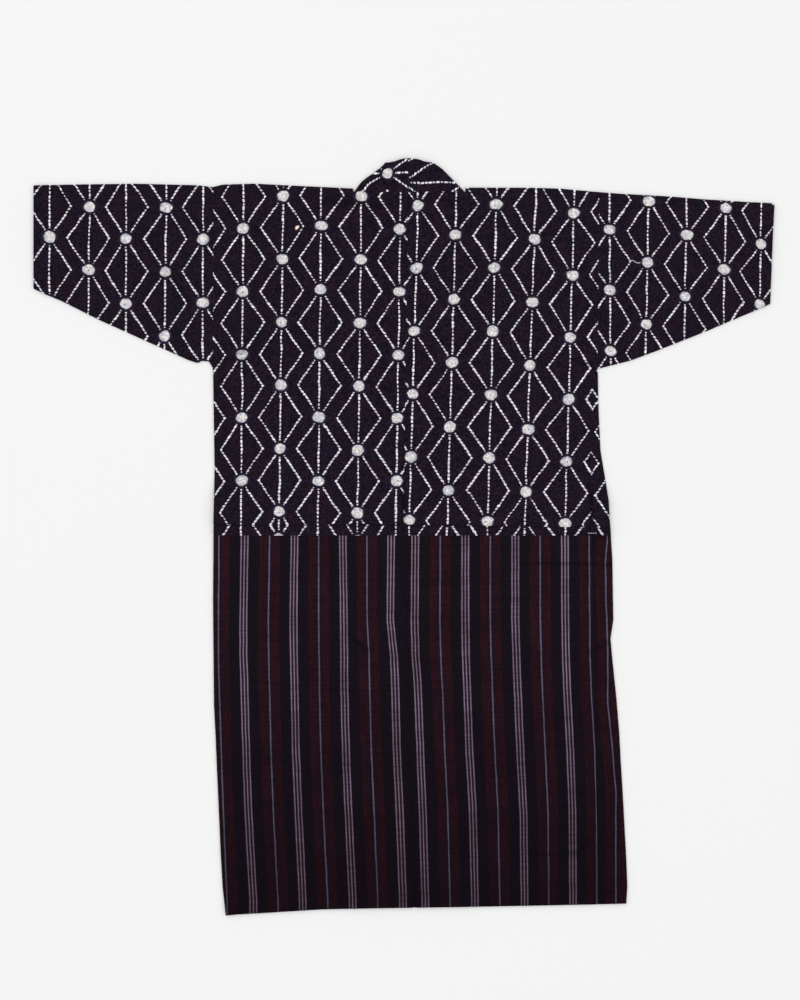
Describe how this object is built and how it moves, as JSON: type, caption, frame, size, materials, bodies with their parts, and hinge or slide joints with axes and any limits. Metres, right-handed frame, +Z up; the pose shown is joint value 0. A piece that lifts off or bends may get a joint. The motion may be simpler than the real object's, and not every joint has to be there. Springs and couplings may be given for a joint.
{
  "type": "noragi work coat laid flat",
  "caption": "Cotton farmer's work coat with short sleeves, waist tuck and doubled collar, laid flat on its front with the back up.",
  "frame": {"origin": "under the middle of the coat's box, on the surface that it lies on", "axes": "+X to the wearer's right, +Y from the hem up to the collar, +Z up from the surface; the coat's back faces +Z"},
  "size_m": [1.1858, 1.2112, 0.0075],
  "materials": {
    "shibori_cotton": "matt indigo-black cotton with tied dots and stitched diamonds left white",
    "striped_cotton": "matt dark cotton with woven lilac and maroon stripes along it"
  },
  "bodies": {
    "root": {"upper_left": "shibori_cotton", "upper_right": "shibori_cotton", "sleeve_left": "shibori_cotton", "sleeve_right": "shibori_cotton", "collar_left": "shibori_cotton", "collar_right": "shibori_cotton", "lower_back_left": "striped_cotton", "lower_back_right": "striped_cotton", "lower_front_left": "striped_cotton", "lower_front_right": "striped_cotton"}
  },
  "joints": []
}
